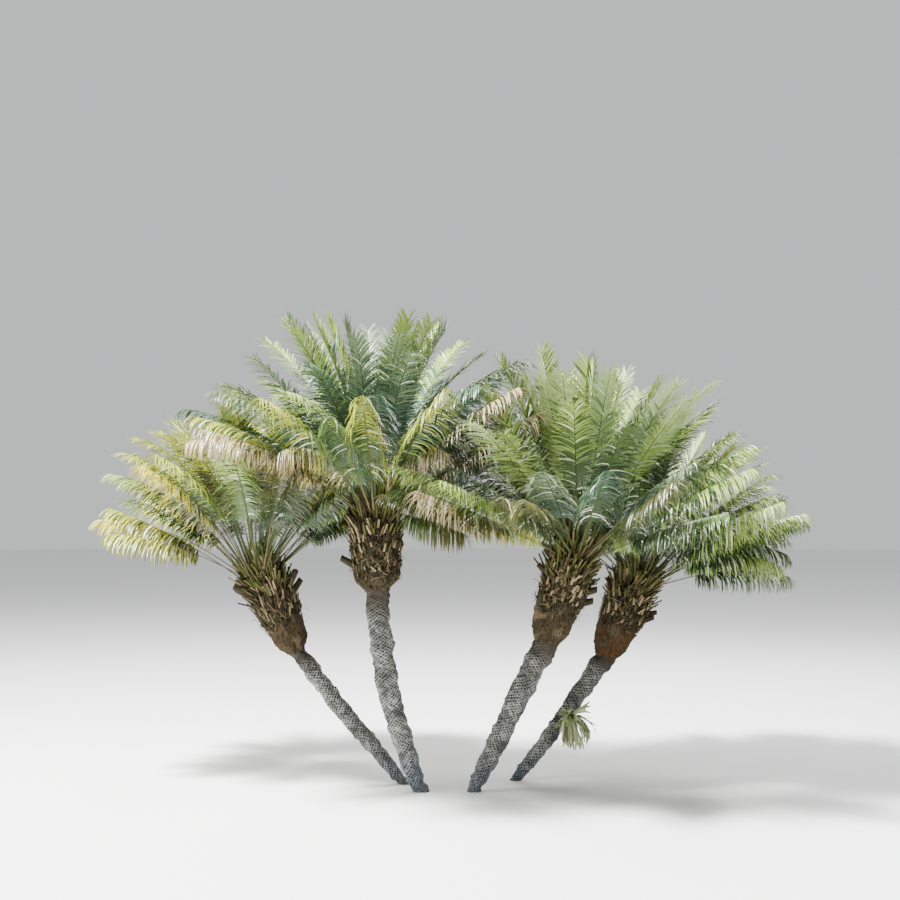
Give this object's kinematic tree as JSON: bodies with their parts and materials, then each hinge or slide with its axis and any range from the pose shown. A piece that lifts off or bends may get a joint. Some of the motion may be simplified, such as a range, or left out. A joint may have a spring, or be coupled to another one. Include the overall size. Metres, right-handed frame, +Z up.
{
  "type": "pygmy date palm clump",
  "caption": "Clump of slender leaning palm stems from one root, each with a fat head of old leaf bases and an arching crown of feather fronds.",
  "frame": {"origin": "middle of the flat cut under the main stem, at ground level", "axes": "+Z up, -Y towards the clump's front, +X along the row of stems to the right as seen from the front"},
  "size_m": [4.117, 2.7083, 2.6269],
  "materials": {
    "bark": "rough grey bark in a net of leaf scars",
    "old_leaf_bases": "rough brown fibre with straw-coloured cut ends",
    "fronds_golden": "satin leaf",
    "fronds_blue_green": "satin leaf",
    "fronds_green": "satin leaf",
    "fronds_deep_green": "satin leaf",
    "strap_leaves": "dull leaf"
  },
  "bodies": {
    "root": {"trunk_outer_left": "bark", "head_outer_left": "old_leaf_bases", "fronds_outer_left_1": "fronds_golden", "fronds_outer_left_2": "fronds_golden", "fronds_outer_left_3": "fronds_golden", "fronds_outer_left_4": "fronds_golden", "fronds_outer_left_5": "fronds_golden", "fronds_outer_left_6": "fronds_golden", "fronds_outer_left_7": "fronds_golden", "fronds_outer_left_8": "fronds_golden", "trunk_main": "bark", "head_main": "old_leaf_bases", "fronds_main_1": "fronds_blue_green", "fronds_main_2": "fronds_blue_green", "fronds_main_3": "fronds_blue_green", "fronds_main_4": "fronds_blue_green", "fronds_main_5": "fronds_blue_green", "fronds_main_6": "fronds_blue_green", "fronds_main_7": "fronds_blue_green", "fronds_main_8": "fronds_blue_green", "trunk_inner_right": "bark", "head_inner_right": "old_leaf_bases", "fronds_inner_right_1": "fronds_green", "fronds_inner_right_2": "fronds_green", "fronds_inner_right_3": "fronds_green", "fronds_inner_right_4": "fronds_green", "fronds_inner_right_5": "fronds_green", "fronds_inner_right_6": "fronds_green", "fronds_inner_right_7": "fronds_green", "fronds_inner_right_8": "fronds_green", "trunk_outer_right": "bark", "head_outer_right": "old_leaf_bases", "fronds_outer_right_1": "fronds_deep_green", "fronds_outer_right_2": "fronds_deep_green", "fronds_outer_right_3": "fronds_deep_green", "fronds_outer_right_4": "fronds_deep_green", "fronds_outer_right_5": "fronds_deep_green", "fronds_outer_right_6": "fronds_deep_green", "fronds_outer_right_7": "fronds_deep_green", "fronds_outer_right_8": "fronds_deep_green", "tuft_outer_right": "strap_leaves"}
  },
  "joints": []
}
